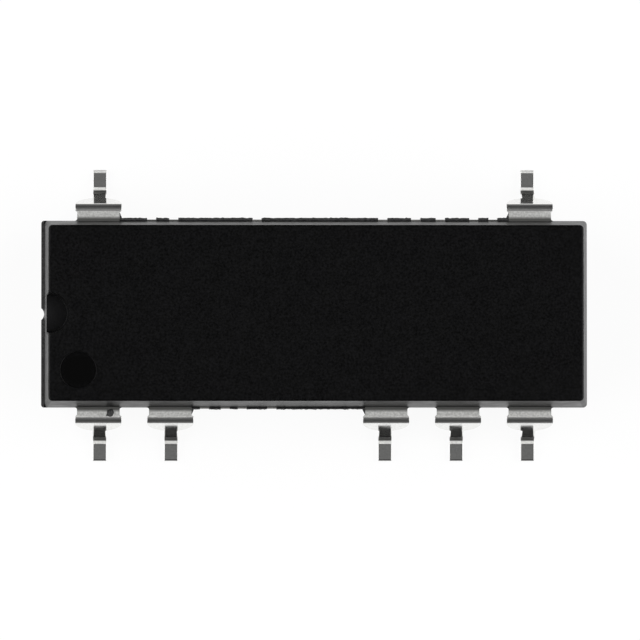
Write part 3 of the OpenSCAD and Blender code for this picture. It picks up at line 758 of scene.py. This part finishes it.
def lead_form(reach):
    run = foot_bend_x - reach
    lean = math.acos(both_radii / math.hypot(run, bend_fall)) - math.atan2(bend_fall, run)
    angle = upright - lean
    drop_start = reach + bend_length(bend_radius, angle)
    second_bend = drop_start + run * math.sin(lean) + bend_fall * math.cos(lean)
    toe = second_bend + bend_length(foot_radius, angle) + foot_length
    print("flat lead", round(toe, 2), "mm long outside the body, leans", round(math.degrees(lean), 1))
    return SimpleNamespace(
        reach=reach, angle=angle, drop_start=drop_start, second_bend=second_bend, toe=toe)


def draw_line(point, target):
    move = (target[0] - point[0], 0, target[1] - point[1])
    bpy.ops.mesh.extrude_region_move(TRANSFORM_OT_translate={"value": move})
    return target


def lead_blank(form, inner):
    bpy.ops.object.select_all(action="DESELECT")
    bpy.ops.mesh.primitive_plane_add(size=1)
    blank = bpy.context.object
    bpy.ops.object.mode_set(mode="EDIT")
    bpy.ops.mesh.select_mode(type="VERT")
    bpy.ops.mesh.select_all(action="SELECT")
    bpy.ops.mesh.merge(type="CENTER")
    bpy.ops.transform.translate(value=(-inner, 0, 0))
    point = (-inner, 0)
    step_x = form.reach + step_length
    for target in ((-inner, finger_half), (-neck_depth, finger_half), (-neck_depth, neck_half),
                   (step_x - step_slant, neck_half), (step_x, shoulder_half),
                   (form.drop_start, shoulder_half)):
        point = draw_line(point, target)
    fillet_z = leg_half + leg_fillet
    round_turn = math.acos(fillet_z / (shoulder_half + leg_fillet))
    fillet_x = form.drop_start + (shoulder_half + leg_fillet) * math.sin(round_turn)
    bpy.ops.mesh.spin(steps=24, angle=-round_turn, center=(form.drop_start, 0, 0), axis=(0, 1, 0))
    bpy.ops.mesh.spin(steps=6, angle=round_turn, center=(fillet_x, 0, fillet_z), axis=(0, 1, 0))
    point = draw_line((fillet_x, leg_half), (form.toe, leg_half))
    draw_line(point, (form.toe, 0))
    bpy.ops.mesh.select_all(action="SELECT")
    bpy.ops.mesh.remove_doubles(threshold=merging)
    bpy.ops.mesh.edge_face_add()
    modify(blank, "MIRROR", use_axis=(False, False, True), use_clip=True)
    modify(blank, "SOLIDIFY", thickness=frame_thickness, offset=0)
    bpy.ops.object.mode_set(mode="EDIT")
    pick(blank, "edges", lambda edge: all(
        abs(v.co.x - form.toe) < touching and abs(v.co.y - frame_thickness / 2) < touching
        for v in edge.verts))
    bpy.ops.mesh.bevel(offset=toe_radius, segments=5, affect="EDGES")
    modify(blank, "BEVEL", width=rolled_edge, segments=2, limit_method="ANGLE",
           angle_limit=math.radians(40), harden_normals=False)
    return blank


# %% [markdown]
# The strip follows a bent middle line: out of the body, over the first bend, down the leaning drop and
# over the second bend into the foot. The line is drawn as a curve of straight runs and arcs, since a
# bend turned by eye would not end in a level foot.

# %% Bent middle line
def bend_points(x, y, radius, first, last):
    middle_radius = radius + frame_thickness / 2
    turn = (last - first) / bend_steps
    turns = [first + turn * i for i in range(bend_steps + 1)]
    return [(x + middle_radius * math.cos(a), y + middle_radius * math.sin(a)) for a in turns]


def bent_line(form):
    points = [(0, 0)]
    points += bend_points(form.reach, bend_z - parting_z, bend_radius, upright, upright - form.angle)
    points += bend_points(
        foot_bend_x, foot_bend_z - parting_z, foot_radius, -upright - form.angle, -upright)
    points.append((foot_bend_x + foot_length, frame_thickness / 2 - parting_z))
    line_data = bpy.data.curves.new("bent_middle_line", "CURVE")
    line_data.dimensions = "2D"
    spline = line_data.splines.new("POLY")
    spline.points.add(len(points) - 1)
    for point, (x, y) in zip(spline.points, points):
        point.co = (x, y, 0, 1)
    line = bpy.data.objects.new("bent_middle_line", line_data)
    bpy.context.scene.collection.objects.link(line)
    toe_y = edge_y + points[-1][0]
    print("lead reaches", round(toe_y, 3), "mm from the middle, CAD", round(lead_high.y, 3))
    return line


# %% [markdown]
# A flat face can only bend where it has edges to bend at. So the blank is cut across, many times,
# where the two bends will be. A Curve modifier then lays the strip along the middle line. Spinning a
# profile would be easier, but it could not carry the round end of the shoulder round the bend.

# %% Bend the blank
cut_tolerance = 1e-5


def bent_lead(form, inner):
    lead = lead_blank(form, inner)
    line = bent_line(form)
    work_on(lead)
    bpy.ops.object.mode_set(mode="EDIT")
    for start, radius in ((form.reach, bend_radius), (form.second_bend, foot_radius)):
        for step in range(bend_steps + 1):
            cut = start + bend_length(radius, form.angle) * step / bend_steps
            bpy.ops.mesh.select_all(action="SELECT")
            bpy.ops.mesh.bisect(plane_co=(cut, 0, 0), plane_no=(1, 0, 0), threshold=cut_tolerance)
    modify(lead, "CURVE", object=line, deform_axis="POS_X")
    bpy.data.objects.remove(line)
    return lead


# %% [markdown]
# The leads of a row are the same outside the body, so a bent lead is made once for each row and each
# length of its inner end, and copied to its places. Leads 2 and 6 also carry a pad for the dies inside
# the block, and each pad was held by two tie bars until the frame was trimmed. The cut ends of the tie
# bars still show in the flash.

# %% Stand the leads in their rows
pad_half = 1.20
pads = {2: (-6.955, -4.655), 6: (4.365, 6.615)}
pad_ties = {2: rear_ties[:2], 6: rear_ties[-2:]}
tie_stub = 0.04
tie_edge = 0.012
joint_overlap = 0.10
finger_reach = 1.55
long_finger_reach = 4.75
pad_reach = edge_y - pad_half + joint_overlap
same_as = {1: 1, 7: 1, 8: 8, 14: 8, 2: 2, 6: 2, 5: 5}


def stand(pattern, number):
    lead = pattern.copy()
    lead.data = pattern.data.copy()
    lead.name = f"lead_{number}_bent"
    bpy.context.scene.collection.objects.link(lead)
    side = -1 if number <= 7 else 1
    position = number - 4 if number <= 7 else 11 - number
    lead.location = (position * lead_pitch, side * edge_y, parting_z)
    lead.rotation_euler = (upright, 0, side * upright)
    work_on(lead)
    bpy.ops.object.transform_apply(location=True, rotation=True, scale=True)
    return lead


def add_pad(lead, number):
    x0, x1 = pads[number]
    combine(lead, block("pad", (x0, -pad_half, frame_low), (x1, pad_half, frame_high)), "UNION")
    for tie in pad_ties[number]:
        low = (tie - tie_width / 2, pad_half - joint_overlap, frame_low)
        bar = block("tie_bar", low, (tie + tie_width / 2, edge_y + tie_stub, frame_high))
        modify(bar, "BEVEL", width=tie_edge, segments=2)
        combine(lead, bar, "UNION")


front = lead_form(front_reach)
rear = lead_form(rear_reach)
patterns = {1: bent_lead(front, finger_reach), 2: bent_lead(front, pad_reach),
            5: bent_lead(front, long_finger_reach), 8: bent_lead(rear, finger_reach)}
for number, pattern in same_as.items():
    lead = stand(patterns[pattern], number)
    if number in pads:
        add_pad(lead, number)
    set_down(lead, tin, "tinned_lead", f"lead_{number}")
for pattern in patterns.values():
    bpy.data.objects.remove(pattern)

# %% [markdown]
# One crumb of resin is stuck to the shoulder of lead 1, left over from trimming. It starts as a small
# ball of triangles, is pressed flat, and its points are pushed about at random, so that it looks
# broken and not turned.

# %% Resin crumb
crumb_x = -7.21
crumb_y = -3.478
crumb_z = 2.205
crumb_radius = 0.165
crumb_squash = (0.9, 1.0, 0.38)
crumb_roughness = 0.045

bpy.ops.object.select_all(action="DESELECT")
bpy.ops.mesh.primitive_ico_sphere_add(subdivisions=2, radius=crumb_radius)
crumb = bpy.context.object
crumb.name = "resin_crumb"
bpy.ops.object.mode_set(mode="EDIT")
bpy.ops.mesh.select_mode(type="VERT")
bpy.ops.mesh.select_all(action="SELECT")
bpy.ops.transform.resize(value=crumb_squash, center_override=(0, 0, 0))
bpy.ops.transform.vertex_random(offset=crumb_roughness, seed=7)
bpy.ops.transform.translate(value=(crumb_x, crumb_y, crumb_z))
set_down(crumb, resin, "moulding_resin", crease=25)

# %% [markdown]
# The rest of the lead frame, the dies, the ring core and its windings are sealed in the block. They
# keep their CAD shapes and get their own finishes, so that the part is also right where it is cut
# open. Only the trimmed ends of the posts and of the core pad show, as small grey patches in the flash.

# %% Finishes inside the block
def finish_node(name, material):
    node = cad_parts[name]
    for spot in node.material_slots:
        spot.material = material


def plain_finish(name, dark, light, size, rough, metallic=0.0, depth=0.002):
    material, tree = new_material(name)
    place = add(tree, "ShaderNodeTexCoord")
    grain = add(tree, "ShaderNodeTexNoise", {
        "Vector": place.outputs["Object"], "Scale": per_mm(size), "Detail": 3.0})
    tint = add(tree, "ShaderNodeMix", {
        "Factor": grain.outputs["Fac"], "A": linear(dark), "B": linear(light)}, data_type="RGBA")
    gloss = add(tree, "ShaderNodeMapRange", {
        "Value": grain.outputs["Fac"], "To Min": rough - 0.08, "To Max": rough + 0.08})
    relief = add(tree, "ShaderNodeBump", {
        "Height": grain.outputs["Fac"], "Strength": 0.4, "Distance": depth * MM})
    skin = add(tree, "ShaderNodeBsdfPrincipled", {
        "Base Color": result(tint), "Metallic": metallic, "Roughness": gloss.outputs[0],
        "Normal": relief.outputs[0]})
    add(tree, "ShaderNodeOutputMaterial", {"Surface": skin.outputs[0]})
    return material


# Rolled copper alloy under tin: satin and grey where the trimming tool cut it
frame_plate = plain_finish("trimmed_frame_strip", "#8f8e8c", "#b9b8b5", 0.05, 0.40, 1.0)
# Ground and sawn silicon: blue-grey and nearly polished
silicon = plain_finish("sawn_silicon", "#4c525c", "#6a717d", 0.10, 0.22)
# Pressed and fired ferrite: charcoal and matt
ferrite = plain_finish("sintered_ferrite", "#2c2c30", "#47474c", 0.04, 0.55)
# Epoxy that set from a drop: cream and smooth
adhesive = plain_finish("cured_epoxy_adhesive", "#cfc8b4", "#e2dccb", 0.20, 0.35)
# Copper under clear enamel: red-brown with a gloss
enamel = plain_finish("enamelled_copper_wire", "#8e3f1e", "#b86234", 0.15, 0.25)
# Drawn gold: a warm mirror, softened by the die's lines
gold = plain_finish("drawn_gold_wire", "#cfa445", "#e6c470", 0.05, 0.25, 1.0)

finishes = {
    frame_plate: ["core_pad", "primary_post_1", "primary_post_2", "tap_post", "secondary_post_1",
                  "secondary_post_2"],
    silicon: ["driver_die", "rectifier_die_1", "rectifier_die_2"],
    ferrite: ["toroid_core"],
    adhesive: ["die_attach", "core_adhesive"],
    enamel: ["primary_winding", "secondary_winding_1", "secondary_winding_2"],
    gold: ["bond_wires"],
}
for material, names in finishes.items():
    for name in names:
        finish_node(name, material)
print("inner nodes finished:", sum(len(names) for names in finishes.values()))
